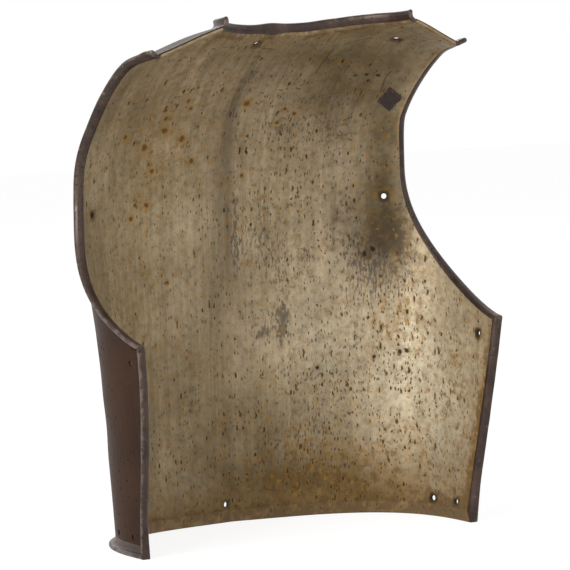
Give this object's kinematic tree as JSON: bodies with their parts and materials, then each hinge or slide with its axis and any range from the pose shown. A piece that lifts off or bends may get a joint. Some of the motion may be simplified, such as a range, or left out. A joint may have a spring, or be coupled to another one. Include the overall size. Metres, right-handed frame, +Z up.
{
  "type": "cuirass breastplate",
  "caption": "Steel breastplate of a cuirass with a medial ridge, outturned lips at neck, arms, sides and waist, and punched holes.",
  "frame": {"origin": "ground level, midway between the sides and midway between the foremost and rearmost points", "axes": "+Z up; the front of the breastplate faces -Y; +X is the wearer's left"},
  "size_m": [0.37, 0.152, 0.4384],
  "materials": {
    "brushed_plate": "brushed, pitted and rust-stained",
    "lip_plate": "dark brown patina, worn bright on edges",
    "patch_leather": "old dark scrap"
  },
  "bodies": {
    "root": {"breast_shell": "brushed_plate", "neck_lip": "lip_plate", "left_armhole_lip": "lip_plate", "right_armhole_lip": "lip_plate", "left_side_lip": "lip_plate", "right_side_lip": "lip_plate", "waist_lip": "lip_plate", "inside_patch": "patch_leather"}
  },
  "joints": []
}
